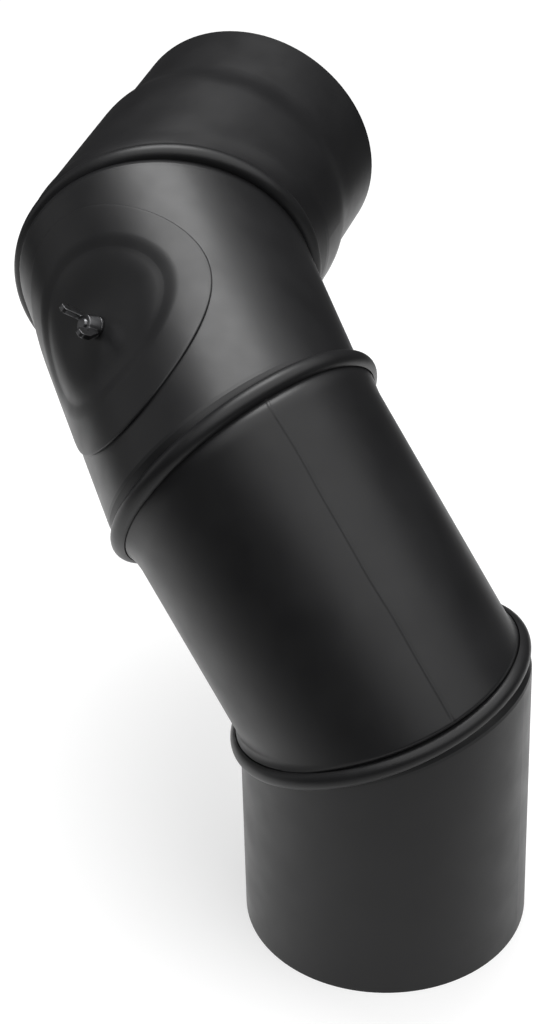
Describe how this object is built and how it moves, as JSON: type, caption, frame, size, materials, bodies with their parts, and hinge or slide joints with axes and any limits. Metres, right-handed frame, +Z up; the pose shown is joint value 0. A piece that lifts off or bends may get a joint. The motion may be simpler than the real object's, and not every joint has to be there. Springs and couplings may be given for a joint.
{
  "type": "stove pipe elbow",
  "caption": "Adjustable beaded sheet-steel stove pipe elbow of swivelling mitred segments, with a round inspection door held by a wing nut and a reduced spigot end.",
  "frame": {"origin": "centre of the lower rim, where the elbow slides on to the pipe below", "axes": "+Z up along the lower segment's axis; the lower joint leans towards -X; the spigot points along +Y"},
  "size_m": [0.3369, 0.3547, 0.3784],
  "materials": {
    "paint": "satin heat-proof paint",
    "fastener": "semi-gloss black",
    "bare_steel": "plain"
  },
  "bodies": {
    "lower": {"lower_segment": "paint"},
    "lower_middle": {"lower_middle_segment": "paint"},
    "door": {"door_segment": "paint", "door_cover": "paint", "clamp_bar": "bare_steel", "carriage_bolt": "fastener", "washer": "fastener"},
    "top": {"spigot_segment": "paint"},
    "nut": {"wing_nut": "fastener"}
  },
  "joints": [
    {"name": "lower_swivel", "type": "hinge", "parent": "lower", "child": "lower_middle", "pos_m": [-0.00307, 0, 0.14509], "axis": [-0.3665, 0, 0.9304], "continuous": true},
    {"name": "middle_swivel", "type": "hinge", "parent": "lower_middle", "child": "door", "pos_m": [-0.09026, 0.03027, 0.25193], "axis": [-0.7827, 0.3989, 0.4777], "continuous": true},
    {"name": "upper_swivel", "type": "hinge", "parent": "door", "child": "top", "pos_m": [-0.17611, 0.12496, 0.29469], "axis": [-0.4026, 0.9084, 0.1126], "continuous": true},
    {"name": "wing_nut_turn", "type": "hinge", "parent": "door", "child": "nut", "pos_m": [-0.17287, 0.02782, 0.31619], "axis": [-0.4838, -0.6848, 0.5451], "continuous": true}
  ]
}
